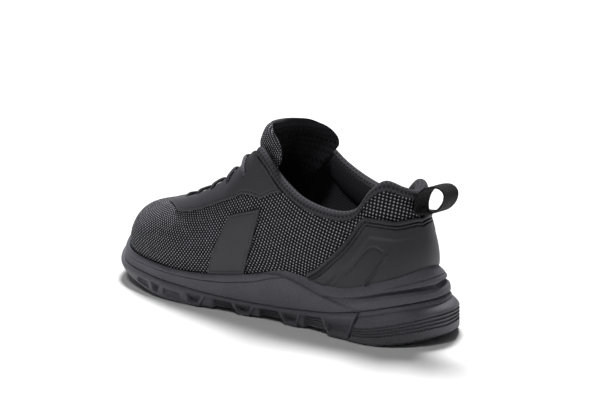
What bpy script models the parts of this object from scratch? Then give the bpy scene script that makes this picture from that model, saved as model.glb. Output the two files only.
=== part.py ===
"""Low-cut lace-up work sneaker, left shoe, as separate pieces."""
import math
from collections import namedtuple

import bmesh
import bpy
import numpy as np

MM = 0.001

# Driving sizes, in millimetres
LAST_LENGTH = 281.0
BALL_WIDTH = 103.0
INSTEP_HEIGHT = 116.5
HEEL_HEIGHT = 34.0
WALL = 2.4
GAP = 0.45
OVERLAY = 1.3
HEEL_BACK_X = -134.0
TOE_SPRING = 14.5
TOE_SPRING_START = 55.0
TOE_SPRING_RUN = 105.0
HEEL_BEVEL = 5.0
HEEL_BEVEL_START = -118.0
ARCH_RISE = 3.0
ARCH_CENTRE = -28.0
ARCH_HALF = 18.0
SOLE_GAP = 0.35
WELT_INSET = 2.5
INSOLE_THICK = 4.5
INSOLE_INSET = 5.8
LUG_DEPTH = 4.5
CHANNEL_DEPTH = 2.6
LACE_RADIUS = 1.3
LOOP_WIDTH = 15.0
LOOP_THICK = 1.2
STATIONS = 80
PERIOD = 16.0

# Plan outline and fullness of the last, one row for each station round the shoe
Section = namedtuple("Section", "along across low_rise low_out top_drop top_out flange")
SECTIONS = [
    Section(0.0, 0.0, 16, 1.5, 18, 0, 19),
    Section(4.3, 25.2, 18, 2.0, 20, 1, 15),
    Section(14.9, 35.9, 20, 2.5, 18, 2, 9.5),
    Section(29.2, 37.9, 20, 2.5, 16, 4, 8),
    Section(44.8, 42.7, 26, 2.5, 28, 9, 8),
    Section(61.2, 50.5, 26, 2.5, 18, 22, 8.5),
    Section(76.2, 52.4, 24, 2.5, 8, 26, 8),
    Section(92.2, 37.0, 25, 2.5, 5, 29, 7.5),
    Section(100.6, -2.9, 25, 2.0, 5, 30, 7),
    Section(92.9, -36.4, 25, 2.5, 5, 25, 5.5),
    Section(76.9, -47.6, 24, 2.5, 8, 23, 7),
    Section(61.6, -45.1, 26, 2.5, 18, 20, 7.5),
    Section(44.8, -34.8, 26, 2.5, 28, 9, 8),
    Section(29.2, -32.0, 20, 2.5, 16, 4, 8),
    Section(14.9, -35.0, 20, 2.5, 18, 2, 9.5),
    Section(4.3, -25.2, 18, 2.0, 20, 1, 15),
]

# Height of the midsole rim round the outer half; the inner half mirrors it
Rim = namedtuple("Rim", "station height")
RIM = [Rim(0, 51), Rim(1, 44), Rim(2, 34.8), Rim(2.5, 34), Rim(3, 36.5), Rim(3.4, 37),
       Rim(4, 30), Rim(5, 23.5), Rim(6, 23.5), Rim(7, 25.5), Rim(8, 31)]

# Top line of the upper: collar, corner at the top eyelet, throat edge
Edge = namedtuple("Edge", "station along side height")
TOP_LINE = [
    Edge(0.0, 2.8, 0, 85.3), Edge(0.6, 4.1, 11, 88.4), Edge(1.1, 7.5, 20, 92.0),
    Edge(1.5, 10.9, 25, 86.0), Edge(1.9, 14.2, 29, 74.2), Edge(2.4, 19.9, 33.5, 71.2),
    Edge(3.0, 29.2, 36, 75.0), Edge(3.6, 37.0, 35, 84.1), Edge(4.1, 43.4, 32.5, 96.1),
    Edge(4.4, 47.3, 29, 100), Edge(4.7, 50.2, 26, 96.6), Edge(5.2, 54.1, 22.5, 88.4),
    Edge(6.0, 61.9, 18, 73.9), Edge(6.7, 69.4, 14, 63.2), Edge(7.4, 75.8, 8.5, 55.6),
    Edge(8.0, 78.6, 1.5, 52.8), Edge(8.6, 75.8, -5.5, 55.0), Edge(9.3, 69.4, -11.5, 61.8),
    Edge(10.0, 61.9, -15.5, 72.0), Edge(10.8, 54.1, -20, 86.6), Edge(11.3, 50.2, -24, 95.2),
    Edge(11.6, 47.3, -28, 99.2), Edge(11.9, 43.4, -32, 95.8), Edge(12.4, 37.0, -34.5, 85.0),
    Edge(13.0, 29.2, -35.5, 77.0), Edge(13.6, 19.9, -33, 73.2), Edge(14.1, 14.2, -28.5, 75.0),
    Edge(14.5, 10.9, -24.5, 82.5), Edge(14.9, 7.5, -19.5, 87.8), Edge(15.4, 4.1, -11, 87.2),
]

# Foot bed height along the shoe
Bed = namedtuple("Bed", "along height")
BED = [Bed(-5, HEEL_HEIGHT), Bed(0, HEEL_HEIGHT), Bed(9, HEEL_HEIGHT - 2.5), Bed(17, 29.5), Bed(27, 27),
       Bed(37, 24.5), Bed(48, 22), Bed(57, 20.5), Bed(66, 20), Bed(76, 20.5), Bed(91, 23), Bed(100, 27),
       Bed(105, 28)]

# Parting line between midsole and outsole round the outer half
PARTING = [Rim(0, 30), Rim(0.8, 27.5), Rim(1.5, 22), Rim(2.2, 16.5), Rim(2.9, 12.5), Rim(3.5, 10.5),
           Rim(4.2, 10), Rim(4.8, 11), Rim(5.4, 12.8), Rim(6, 14.2), Rim(6.9, 15.5), Rim(8, 22)]

# Side profile of the midsole, from rim to parting line
Profile = namedtuple("Profile", "fore_height fore_out heel_height heel_out")
MIDSOLE_SIDE = [
    Profile(1.00, 0.20, 1.00, 0.08), Profile(0.93, 0.44, 0.86, 0.24), Profile(0.74, 0.52, 0.62, 0.40),
    Profile(0.64, 0.45, 0.50, 0.34), Profile(0.40, 0.54, 0.38, 0.55), Profile(0.12, 0.70, 0.14, 0.60),
    Profile(0.00, 0.66, 0.00, 0.52),
]

# Side profile of the outsole, from parting line to ground, ribs at the heel
OUTSOLE_SIDE = [
    Profile(1.00, 0.72, 1.00, 0.58), Profile(0.88, 0.92, 0.84, 0.70), Profile(0.66, 1.00, 0.56, 0.94),
    Profile(0.50, 1.00, 0.46, 1.00), Profile(0.44, 1.00, 0.40, 0.95), Profile(0.38, 0.99, 0.35, 1.00),
    Profile(0.32, 0.98, 0.30, 0.95), Profile(0.26, 0.97, 0.25, 1.00), Profile(0.12, 0.92, 0.10, 0.98),
    Profile(0.00, 0.74, 0.00, 0.84),
]

# Openings between the lugs on the outer half: near and far station, share of side height, open below
Lug = namedtuple("Lug", "near far low high through")
LUGS = [
    Lug(2.43, 2.80, 0.0, 0.70, True), Lug(3.39, 3.76, 0.0, 0.70, True), Lug(4.30, 4.64, 0.0, 0.70, True),
    Lug(5.24, 5.62, 0.2, 0.70, False), Lug(5.81, 6.21, 0.2, 0.70, False),
]

# Eyestay width, measured down from the top line round the outer half
Stay = namedtuple("Stay", "station top_drop low_drop")
EYESTAY = [Stay(3.56, 4.2, 5.6), Stay(3.64, 4.2, 7.0), Stay(3.81, 4.2, 14.5), Stay(4.01, 4.2, 25.2),
           Stay(4.15, 4.2, 28.2), Stay(4.3, 4.2, 31.2), Stay(4.38, 0.4, 32.4), Stay(4.64, 0.4, 35.1),
           Stay(4.96, 0.4, 36.7), Stay(5.33, 0.4, 38.2), Stay(5.83, 0.4, 41.1), Stay(6.05, 0.4, 41.4),
           Stay(6.25, 0.4, 39.6), Stay(6.45, 0.4, 34.5), Stay(6.8, 0.4, 29), Stay(7.4, 0.4, 25),
           Stay(8.0, 0.4, 23)]

# Heel counter height above the rim round the outer half
COUNTER = [Rim(0, 34), Rim(0.8, 38.5), Rim(1.35, 45), Rim(1.6, 48), Rim(1.75, 46), Rim(2.2, 27),
           Rim(2.6, 11), Rim(2.85, 3)]
COUNTER_BASE = 1.2

# Plain slanted band on each side, stations of its two edges at rim and top
Band = namedtuple("Band", "share back front")
SIDE_PANEL = [Band(0.0, 4.12, 4.80), Band(0.5, 4.00, 4.72), Band(1.0, 3.96, 4.60)]
PANEL_BASE = 1.5
PANEL_TOP_BACK = 49.0
PANEL_TOP_FRONT = 46.0

# Collar cuff section: lift from the outer face, drop from the top line
Hook = namedtuple("Hook", "lift drop")
CUFF = [Hook(GAP, 2.6), Hook(2.0, 2.6), Hook(2.4, 0.2), Hook(1.4, -2.6), Hook(-2.0, -3.8), Hook(-5.6, -2.2),
        Hook(-8.2, 6.0), Hook(-6.0, 20.0), Hook(-WALL - GAP, 22.0), Hook(-WALL - GAP, 14.0),
        Hook(-WALL - GAP, 7.0), Hook(-WALL - GAP, -GAP), Hook(GAP, -GAP)]
CUFF_END = 4.2
CUFF_TAPER = 1.2
CUFF_THIN = 0.45

# Tongue centre line and section
Tongue = namedtuple("Tongue", "x z half_width wrap thick")
TONGUE = [
    Tongue(100, 55.0, 12, 1, 3.5), Tongue(86, 55.6, 16, 3, 4), Tongue(62, 64, 20, 7, 5.5),
    Tongue(40, 77, 23, 10, 6.5), Tongue(20, 91.5, 24, 14, 7), Tongue(12, 104.5, 25, 23, 8),
    Tongue(9.2, 112.5, 26.5, 28, 8.5), Tongue(7, 120.5, 30, 33, 8.5), Tongue(5.6, 127.5, 27.5, 28, 7.5),
    Tongue(5.2, 131.6, 21, 15, 5.5), Tongue(5.4, 133.6, 10, 4, 3),
]
TONGUE_FLAT = 2.4

# Pull loop path in the centre plane
Loop = namedtuple("Loop", "x z")
PULL_LOOP = [Loop(-129.0, 88.6), Loop(-128.6, 92.5), Loop(-129.2, 96.5), Loop(-131.2, 101.5),
             Loop(-135.5, 106.2), Loop(-142.0, 109.0), Loop(-149.5, 109.8), Loop(-154.4, 106.5),
             Loop(-153.5, 100.0), Loop(-147.5, 93.5), Loop(-139.5, 90.0), Loop(-130.9, 88.6)]

# Lace eyelets on the outer half, their drop below the edge, and where the cord crosses the edge
Eyelet = namedtuple("Eyelet", "station drop edge")
EYELETS = [Eyelet(4.6, 15, 4.95), Eyelet(5.36, 13.5, 5.55), Eyelet(5.92, 13.5, 6.1), Eyelet(6.45, 13, 6.62),
           Eyelet(7.0, 12, 7.2)]
LACE_CLEAR = 0.3
LACE_ARCH = (2.0, 0.0, 1.0)


def mirrored(rows):
    """Rows given on the outer half, with the inner half added."""
    table = [tuple(row) for row in rows]
    turned = [(PERIOD - row[0],) + row[1:] for row in reversed(table) if 0 < row[0] < 8]
    return np.array(table + turned, float)


def ring(table, u):
    """Smooth closed curve through table rows; the first column is the station."""
    knots = np.r_[table[-2:, 0] - PERIOD, table[:, 0], table[:2, 0] + PERIOD]
    values = np.vstack([table[-2:, 1:], table[:, 1:], table[:2, 1:]])
    slopes = (values[2:] - values[:-2]) / (knots[2:] - knots[:-2])[:, None]
    u = np.mod(np.asarray(u, float), PERIOD)
    i = np.clip(np.searchsorted(knots, u, side="right") - 1, 1, len(knots) - 3)
    span = knots[i + 1] - knots[i]
    t = ((u - knots[i]) / span)[..., None]
    span = span[..., None]
    near = (1 + 2 * t) * (1 - t) ** 2 * values[i] + t * (1 - t) ** 2 * span * slopes[i - 1]
    far = t * t * (3 - 2 * t) * values[i + 1] + t * t * (t - 1) * span * slopes[i]
    return near + far


SECTION_TABLE = np.array([(k,) + tuple(row) for k, row in enumerate(SECTIONS)], float)
RIM_TABLE = mirrored(RIM)
PARTING_TABLE = mirrored(PARTING)
TOP_TABLE = np.array([tuple(row) for row in TOP_LINE], float)


def half(u):
    """Station folded on to the outer half."""
    u = np.mod(np.asarray(u, float), PERIOD)
    return np.minimum(u, PERIOD - u)


def along_to_x(share):
    return HEEL_BACK_X + share / 100.0 * LAST_LENGTH


def feather(u):
    row = ring(SECTION_TABLE, u)
    return np.stack([along_to_x(row[..., 0]), row[..., 1] / 100.0 * BALL_WIDTH], -1)


def outward(u):
    u = np.asarray(u, float)
    run = feather(u + 0.02) - feather(u - 0.02)
    side = np.stack([-run[..., 1], run[..., 0]], -1)
    return side / np.linalg.norm(side, axis=-1, keepdims=True)


def offset_plan(u, distance):
    return feather(u) + outward(u) * np.asarray(distance, float)[..., None]


def rim_height(u):
    return ring(RIM_TABLE, u)[..., 0]


def parting_height(u):
    return ring(PARTING_TABLE, u)[..., 0]


def flange(u):
    return ring(SECTION_TABLE, u)[..., 6]


def bed_height(x):
    share = (np.asarray(x, float) - HEEL_BACK_X) / LAST_LENGTH * 100.0
    return np.interp(share, [row.along for row in BED], [row.height for row in BED])


def ground(x, y):
    """Underside of the outsole: heel bevel, arch on the inner side and toe spring."""
    run = np.clip((x - TOE_SPRING_START) / TOE_SPRING_RUN, 0, 1)
    toe = run * run * (3 - 2 * run) * TOE_SPRING
    heel = np.clip((HEEL_BEVEL_START - x) / 32.0, 0, 2) ** 2 * HEEL_BEVEL
    inner = np.clip(0.5 - y / BALL_WIDTH * 1.6, 0, 1)
    arch = np.clip(1 - np.abs(x - ARCH_CENTRE) / ARCH_HALF, 0, 1) * ARCH_RISE * inner
    return toe + heel + arch


def top_line(u):
    row = ring(TOP_TABLE, u)
    return np.stack([along_to_x(row[..., 0]), row[..., 1], row[..., 2] / 100.0 * INSTEP_HEIGHT], -1)


def upper_point(u, t):
    """Outer face of the upper: t runs from the rim to the top line."""
    u, t = np.broadcast_arrays(np.asarray(u, float), np.asarray(t, float))
    row = ring(SECTION_TABLE, u)
    side = outward(u)
    side = np.concatenate([side, np.zeros(side.shape[:-1] + (1,))], -1)
    up = np.array([0, 0, 1.0])
    foot = np.concatenate([feather(u), rim_height(u)[..., None]], -1)
    top = top_line(u)
    low = foot + side * row[..., 3:4] + up * row[..., 2:3]
    high = top + side * row[..., 5:6] - up * row[..., 4:5]
    t = t[..., None]
    return (1 - t) ** 3 * foot + 3 * t * (1 - t) ** 2 * low + 3 * t * t * (1 - t) * high + t ** 3 * top


def upper_normal(u, t):
    u, t = np.broadcast_arrays(np.asarray(u, float), np.asarray(t, float))
    ahead = upper_point(u + 0.03, t) - upper_point(u - 0.03, t)
    rise = upper_point(u, np.minimum(t + 0.02, 1)) - upper_point(u, np.maximum(t - 0.02, 0))
    face = np.cross(rise, ahead)
    return face / np.linalg.norm(face, axis=-1, keepdims=True)


def upper_lift(u, t, lift):
    return upper_point(u, t) + upper_normal(u, t) * np.asarray(lift, float)[..., None]


def rib_lengths(u):
    t = np.linspace(0, 1, 81)
    line = upper_point(u, t)
    return t, np.r_[0, np.cumsum(np.linalg.norm(np.diff(line, axis=0), axis=1))]


def below_top(u, drop, lift):
    """Point a given way down the upper's wall from the top line, or above it."""
    t, length = rib_lengths(u)
    share = np.interp(length[-1] - max(drop, 0), length, t)
    spot = upper_lift(u, share, lift)
    if drop < 0:
        rise = upper_point(u, 1.0) - upper_point(u, 0.96)
        spot = spot - rise / np.linalg.norm(rise) * drop
    return spot


def above_rim(u, rise, lift):
    t, length = rib_lengths(u)
    return upper_lift(u, np.interp(rise, length, t), lift)


def stations(extra=()):
    """Even stations round the shoe plus doubled ones at steps."""
    even = np.arange(STATIONS) * PERIOD / STATIONS
    extra = np.array(extra, float)
    if not len(extra):
        return even
    keep = [u for u in even if np.min(np.abs(extra - u)) > 0.045]
    return np.sort(np.r_[keep, extra])


def between(first, last):
    """Stations of the upper inside a span, with the span's ends."""
    step = PERIOD / STATIONS
    inside = np.arange(math.ceil(first / step - 1e-9), math.floor(last / step + 1e-9) + 1) * step
    inside = [u for u in inside if first + 0.06 < u < last - 0.06]
    return np.r_[first, inside, last]


shoe = bpy.data.collections.new("sneaker")
cutters = bpy.data.collections.new("cutters")
for thing in list(bpy.data.objects):
    bpy.data.objects.remove(thing, do_unlink=True)
bpy.context.scene.collection.children.link(shoe)
bpy.context.scene.collection.children.link(cutters)
cutters.hide_render = True


def material(name, colour, roughness):
    made = bpy.data.materials.new(name)
    made.use_nodes = True
    shader = made.node_tree.nodes["Principled BSDF"]
    shader.inputs["Base Color"].default_value = (*colour, 1)
    shader.inputs["Roughness"].default_value = roughness
    shader.inputs["Metallic"].default_value = 0.0
    return made


def add_mesh(name, points, faces, made, collection=shoe):
    """Object from points in millimetres, faces turned outward."""
    mesh = bpy.data.meshes.new(name)
    mesh.from_pydata([tuple(p) for p in np.asarray(points) * MM], [], faces)
    work = bmesh.new()
    work.from_mesh(mesh)
    bmesh.ops.recalc_face_normals(work, faces=work.faces)
    if all(edge.is_manifold for edge in work.edges) and work.calc_volume(signed=True) < 0:
        bmesh.ops.reverse_faces(work, faces=work.faces)
    work.to_mesh(mesh)
    work.free()
    thing = bpy.data.objects.new(name, mesh)
    collection.objects.link(thing)
    mesh.materials.append(made)
    return thing


def ring_faces(rows, count):
    faces = []
    for r in range(rows - 1):
        for i in range(count):
            j = (i + 1) % count
            faces.append((r * count + i, r * count + j, (r + 1) * count + j, (r + 1) * count + i))
    return faces


def cap_faces(start, count):
    """Strips across a loop, joining each outer station with its inner twin."""
    faces = [(start, start + 1, start + count - 1)]
    middle = count // 2
    for i in range(1, middle - 1):
        faces.append((start + i, start + i + 1, start + count - i - 1, start + count - i))
    faces.append((start + middle - 1, start + middle, start + middle + 1))
    return faces


def loft(name, loops, made):
    """Closed solid through loops of one point count, capped at both ends."""
    count = len(loops[0])
    faces = ring_faces(len(loops), count) + cap_faces(0, count) + cap_faces((len(loops) - 1) * count, count)
    return add_mesh(name, np.vstack(loops), faces, made)


def grid_faces(rows, count, closed=False):
    faces = []
    for r in range(rows - 1):
        for i in range(count if closed else count - 1):
            j = (i + 1) % count
            faces.append((r * count + i, r * count + j, (r + 1) * count + j, (r + 1) * count + i))
    return faces


def skin(name, outer, inner, made, closed=False):
    """Closed wall between two like grids of points, joined along their borders."""
    outer, inner = np.asarray(outer), np.asarray(inner)
    rows, count = outer.shape[:2]
    size = rows * count
    faces = grid_faces(rows, count, closed)
    faces += [tuple(size + k for k in reversed(face)) for face in grid_faces(rows, count, closed)]
    first = [(0, i) for i in range(count)]
    last = [(rows - 1, i) for i in range(count)]
    if closed:
        borders = [first + first[:1], last + last[:1]]
    else:
        left = [(r, 0) for r in range(rows)]
        right = [(r, count - 1) for r in range(rows)]
        borders = [first, last, left, right]
    for border in borders:
        marks = [r * count + i for r, i in border]
        faces += [(a, b, b + size, a + size) for a, b in zip(marks, marks[1:])]
    return add_mesh(name, np.vstack([outer.reshape(-1, 3), inner.reshape(-1, 3)]), faces, made)


rubber = material("outsole_rubber", (0.060, 0.060, 0.064), 0.72)
foam = material("midsole_foam", (0.070, 0.070, 0.074), 0.68)
mesh_cloth = material("woven_mesh", (0.050, 0.050, 0.054), 0.88)
film = material("overlay_film", (0.075, 0.075, 0.079), 0.52)
lining = material("lining_cloth", (0.018, 0.018, 0.020), 0.92)
webbing = material("webbing", (0.030, 0.030, 0.033), 0.85)
cord = material("lace_cord", (0.045, 0.045, 0.049), 0.85)
footbed = material("footbed_foam", (0.025, 0.025, 0.028), 0.9)


def side_mix(u, height_share):
    """How far a spot of the sole's side follows the heel profile: a slanted border."""
    border = 1.95 + 1.25 * np.asarray(height_share, float)
    share = np.clip((border - half(u)) / 0.5 + 0.5, 0, 1)
    return share * share * (3 - 2 * share)


def midsole_loops(u):
    loops = []
    plan = offset_plan(u, np.full(len(u), -WELT_INSET + GAP))
    loops.append(np.c_[plan, bed_height(plan[:, 0])])
    rim, low = rim_height(u), parting_height(u) + SOLE_GAP
    plan = offset_plan(u, np.full(len(u), GAP))
    loops.append(np.c_[plan, rim - 0.8])
    for row in MIDSOLE_SIDE:
        mix = side_mix(u, row.fore_height)
        share = row.fore_height + (row.heel_height - row.fore_height) * mix
        out = (row.fore_out + (row.heel_out - row.fore_out) * mix) * flange(u)
        plan = offset_plan(u, np.maximum(out, GAP + 0.5))
        loops.append(np.c_[plan, low + (rim - low) * share])
    return loops


def lug_depth(u, height_share):
    """Side recess and channel depth at a station, from the lug table."""
    side = np.zeros(len(u))
    below = np.zeros(len(u))
    spot = half(u)
    for lug in LUGS:
        inside = (spot > lug.near) & (spot < lug.far)
        if lug.low <= height_share <= lug.high:
            side = np.where(inside, LUG_DEPTH, side)
        if lug.through:
            below = np.where(inside, CHANNEL_DEPTH, below)
    return side, below


def outsole_loops(u):
    loops = []
    high = parting_height(u)
    for row in OUTSOLE_SIDE:
        mix = side_mix(u, 0.0)
        share = row.fore_height + (row.heel_height - row.fore_height) * mix
        out = (row.fore_out + (row.heel_out - row.fore_out) * mix) * flange(u)
        side, below = lug_depth(u, row.fore_height)
        plan = offset_plan(u, out - side)
        floor = ground(plan[:, 0], plan[:, 1]) + below
        loops.append(np.c_[plan, floor + (high - floor) * share])
    return loops


steps = []
for lug in LUGS:
    for edge in (lug.near, lug.far):
        steps += [edge - 0.02, edge + 0.02, PERIOD - edge - 0.02, PERIOD - edge + 0.02]

around = stations()
loft("outsole", outsole_loops(stations(steps)), rubber)
loft("midsole", midsole_loops(around), foam)

# Removable insole on the foot bed
insole_loops = []
for inset, lift in ((INSOLE_INSET, GAP), (INSOLE_INSET - 0.2, 2.0), (INSOLE_INSET, INSOLE_THICK - 1.0),
                    (INSOLE_INSET + 1.6, INSOLE_THICK)):
    plan = offset_plan(around, np.full(len(around), -inset))
    insole_loops.append(np.c_[plan, bed_height(plan[:, 0]) + lift])
loft("insole", insole_loops, footbed)

# Upper: one hollow shell from the foot bed to the top line
outer, inner = [], []
for face, depth in ((outer, 0.0), (inner, WALL)):
    plan = offset_plan(around, np.full(len(around), -WELT_INSET - depth))
    face.append(np.c_[plan, bed_height(plan[:, 0]) + GAP])
    for t in (0.0, 0.14, 0.28, 0.42, 0.56, 0.70, 0.84, 1.0):
        face.append(upper_lift(around, np.full(len(around), t), np.full(len(around), -depth)))
skin("upper", outer, inner, mesh_cloth, closed=True)


def overlay(name, columns, made):
    """Skin over the upper: columns of a place function and its two measures."""
    faces = []
    for lift in (GAP + OVERLAY, GAP):
        faces.append([[place(u, way, lift) for u, way in column] for place, column in columns])
    skin(name, faces[0], faces[1], made)


def table_at(rows, column, spot):
    return np.interp(spot, [row[0] for row in rows], [getattr(row, column) for row in rows])


columns = []
for u in between(EYESTAY[0].station, PERIOD - EYESTAY[0].station):
    spot = float(half(u))
    drops = np.linspace(table_at(EYESTAY, "top_drop", spot), table_at(EYESTAY, "low_drop", spot), 4)
    columns.append((below_top, [(u, drop) for drop in drops]))
overlay("eyestay", columns, film)

columns = []
for u in between(-COUNTER[-1].station, COUNTER[-1].station):
    rises = np.linspace(COUNTER_BASE, table_at(COUNTER, "height", float(half(u))), 6)
    columns.append((above_rim, [(u, rise) for rise in rises]))
overlay("heel_counter", columns, film)

for name, turned in (("side_panel_outer", False), ("side_panel_inner", True)):
    columns = []
    for share in np.linspace(0, 1, 7):
        line = []
        across = np.linspace(table_at(SIDE_PANEL, "back", share), table_at(SIDE_PANEL, "front", share), 5)
        for u, reach in zip(across, np.linspace(PANEL_TOP_BACK, PANEL_TOP_FRONT, 5)):
            line.append((PERIOD - u if turned else u, PANEL_BASE + (reach - PANEL_BASE) * share))
        columns.append((above_rim, line))
    overlay(name, columns, film)

# Padded cuff hooked over the collar edge, thinner towards the corners
sections = []
for u in between(-CUFF_END, CUFF_END):
    thin = np.clip((CUFF_END - half(u)) / CUFF_TAPER, 0, 1)
    thin = CUFF_THIN + (1 - CUFF_THIN) * float(thin * thin * (3 - 2 * thin))
    line = []
    for hook in CUFF:
        lift = hook.lift
        if lift < -WALL - GAP:
            lift = -WALL - GAP + (lift + WALL + GAP) * thin
        line.append(below_top(u, hook.drop, lift))
    sections.append(line)
count = len(CUFF)
faces = ring_faces(len(sections), count)
faces.append(tuple(range(count)))
faces.append(tuple(range((len(sections) - 1) * count, len(sections) * count)))
add_mesh("collar_cuff", np.vstack(sections), faces, lining)

# Tongue: arched padded slab under the throat
centre = np.array([(row.x, row.z) for row in TONGUE])
run = np.gradient(centre, axis=0)
run /= np.linalg.norm(run, axis=1, keepdims=True)
inward = np.stack([-run[:, 1], run[:, 0]], -1)
sections = []
across = np.linspace(-1, 1, 9)
for row, spot, down in zip(TONGUE, centre, inward):
    line = []
    for side in (1, -1):
        for a in across * side:
            thick = row.thick / 2 * math.sqrt(max(1 - abs(a) ** 4, 0)) * 0.85 + row.thick * 0.075
            depth = row.wrap * abs(a) ** TONGUE_FLAT - side * thick
            flat = spot + down * depth
            line.append((flat[0], row.half_width * a, flat[1]))
    sections.append(line)
count = len(sections[0])
faces = ring_faces(len(sections), count)
for start in (0, (len(sections) - 1) * count):
    for i in range(len(across) - 1):
        faces.append((start + i, start + i + 1, start + count - 2 - i, start + count - 1 - i))
add_mesh("tongue", np.vstack(sections), faces, lining)

# Pull loop: one ribbon folded on itself at the heel
path = np.array([(row.x, row.z) for row in PULL_LOOP])
fine = np.linspace(0, len(path) - 1, 31)
slopes = np.gradient(path, axis=0)
i = np.minimum(fine.astype(int), len(path) - 2)
t = (fine - i)[:, None]
line = (1 + 2 * t) * (1 - t) ** 2 * path[i] + t * (1 - t) ** 2 * slopes[i]
line += t * t * (3 - 2 * t) * path[i + 1] + t * t * (t - 1) * slopes[i + 1]
grid = [[(x, y, z) for x, z in line] for y in np.linspace(-LOOP_WIDTH / 2, LOOP_WIDTH / 2, 3)]
loop = add_mesh("pull_loop", np.reshape(grid, (-1, 3)), grid_faces(3, len(line)), webbing)
wall = loop.modifiers.new("wall", "SOLIDIFY")
wall.thickness = LOOP_THICK * MM
wall.offset = 0.0
wall.use_even_offset = True


def tube(name, path, radius, made, collection=shoe, sides=8):
    """Round cord along a path, closed at both ends."""
    path = np.array(path)
    run = np.gradient(path, axis=0)
    run /= np.linalg.norm(run, axis=1, keepdims=True)
    side = np.cross(run, [0, 0, 1.0])
    side /= np.linalg.norm(side, axis=1, keepdims=True)
    over = np.cross(side, run)
    points = []
    for spot, a, b in zip(path, side, over):
        for k in range(sides):
            turn = 2 * math.pi * k / sides
            points.append(spot + radius * (math.cos(turn) * a + math.sin(turn) * b))
    faces = ring_faces(len(path), sides)
    faces.append(tuple(range(sides)))
    faces.append(tuple(range((len(path) - 1) * sides, len(path) * sides)))
    return add_mesh(name, points, faces, made, collection)


def lace_path(outer, inner):
    """Cord from an outer eyelet over the throat to an inner one."""
    lift = GAP + OVERLAY + LACE_RADIUS + LACE_CLEAR
    ends = []
    for eyelet, turned in ((outer, False), (inner, True)):
        ends.append([])
        for share in (0.0, 0.3, 0.6, 0.85):
            station = eyelet.station + (eyelet.edge - eyelet.station) * share
            ends[-1].append((station, eyelet.drop * (1 - share), lift))
        ends[-1] += [(eyelet.edge, -0.6, lift), (eyelet.edge, -2.6, lift - 1.2), (eyelet.edge, -4.4, 0.4)]
        ends[-1] = [below_top(PERIOD - u if turned else u, drop, rise) for u, drop, rise in ends[-1]]
    a, b = ends[0][-1], ends[1][-1]
    crown = [a + (b - a) * s + np.array(LACE_ARCH) * 4 * s * (1 - s) for s in (0.3, 0.5, 0.7)]
    return ends[0] + crown + ends[1][::-1]


strands = [tube("lace", lace_path(EYELETS[-1], EYELETS[-1]), LACE_RADIUS, cord)]
for k in range(len(EYELETS) - 1):
    for pair in ((k, k + 1), (k + 1, k)):
        path = lace_path(EYELETS[pair[0]], EYELETS[pair[1]])
        strand = tube("strand_%d_%d" % pair, path, LACE_RADIUS, cord, cutters)
        strand.hide_render = True
        strand.display_type = "WIRE"
        strands.append(strand)
for strand in reversed(strands[1:]):
    join = strands[0].modifiers.new("join", "BOOLEAN")
    join.operation = "UNION"
    join.solver = "EXACT"
    join.object = strand

# Centre the whole shoe over the origin and stand it on the floor
bpy.context.view_layer.update()
depsgraph = bpy.context.evaluated_depsgraph_get()
corners = []
for thing in shoe.objects:
    seen = thing.evaluated_get(depsgraph)
    got = seen.to_mesh()
    corners += [tuple(v.co) for v in got.vertices]
    seen.to_mesh_clear()
corners = np.array(corners)
low, high = corners.min(0), corners.max(0)
shift = np.array([-(low[0] + high[0]) / 2, -(low[1] + high[1]) / 2, -low[2]])
for thing in list(shoe.objects) + list(cutters.objects):
    for vertex in thing.data.vertices:
        vertex.co = tuple(np.array(vertex.co) + shift)
print("shift mm", np.round(shift / MM, 3), "size mm", np.round((high - low) / MM, 2))
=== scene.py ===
import math

import bpy
import numpy as np
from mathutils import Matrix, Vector


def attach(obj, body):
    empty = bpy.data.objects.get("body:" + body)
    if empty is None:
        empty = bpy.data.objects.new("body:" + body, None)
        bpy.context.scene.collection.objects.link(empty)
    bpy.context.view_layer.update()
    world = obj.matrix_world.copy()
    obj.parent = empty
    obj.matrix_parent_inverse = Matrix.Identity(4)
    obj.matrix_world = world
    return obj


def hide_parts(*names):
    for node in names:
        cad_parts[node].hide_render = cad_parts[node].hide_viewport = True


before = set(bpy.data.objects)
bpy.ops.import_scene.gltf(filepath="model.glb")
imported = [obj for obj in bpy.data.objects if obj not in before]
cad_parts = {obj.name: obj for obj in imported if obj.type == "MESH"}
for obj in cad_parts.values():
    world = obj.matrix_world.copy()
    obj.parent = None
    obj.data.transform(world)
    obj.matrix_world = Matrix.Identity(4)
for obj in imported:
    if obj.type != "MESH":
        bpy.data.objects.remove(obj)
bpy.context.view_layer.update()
print("frame loaded")

# sizes in millimetres, the same as the solids are worked out from
shoe = {
    "length": 281.0,
    "ballWidth": 103.0,
    "instep": 116.5,
    "heelBack": -134.0,
    "wall": 2.4,
    "gap": 0.45,
    "film": 1.3,
    "soleGap": 0.35,
    "weltInset": 2.5,
    "place": (-0.178, -3.163, 0.0),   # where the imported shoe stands
}
turn = 16.0   # stations once round the shoe, 0 at the heel, 8 at the toe
mm = 0.001   # in metres
welds = {"grid": 0.004 * mm, "folds": 0.01 * mm, "caps": 0.02 * mm}   # how near points are joined

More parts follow.
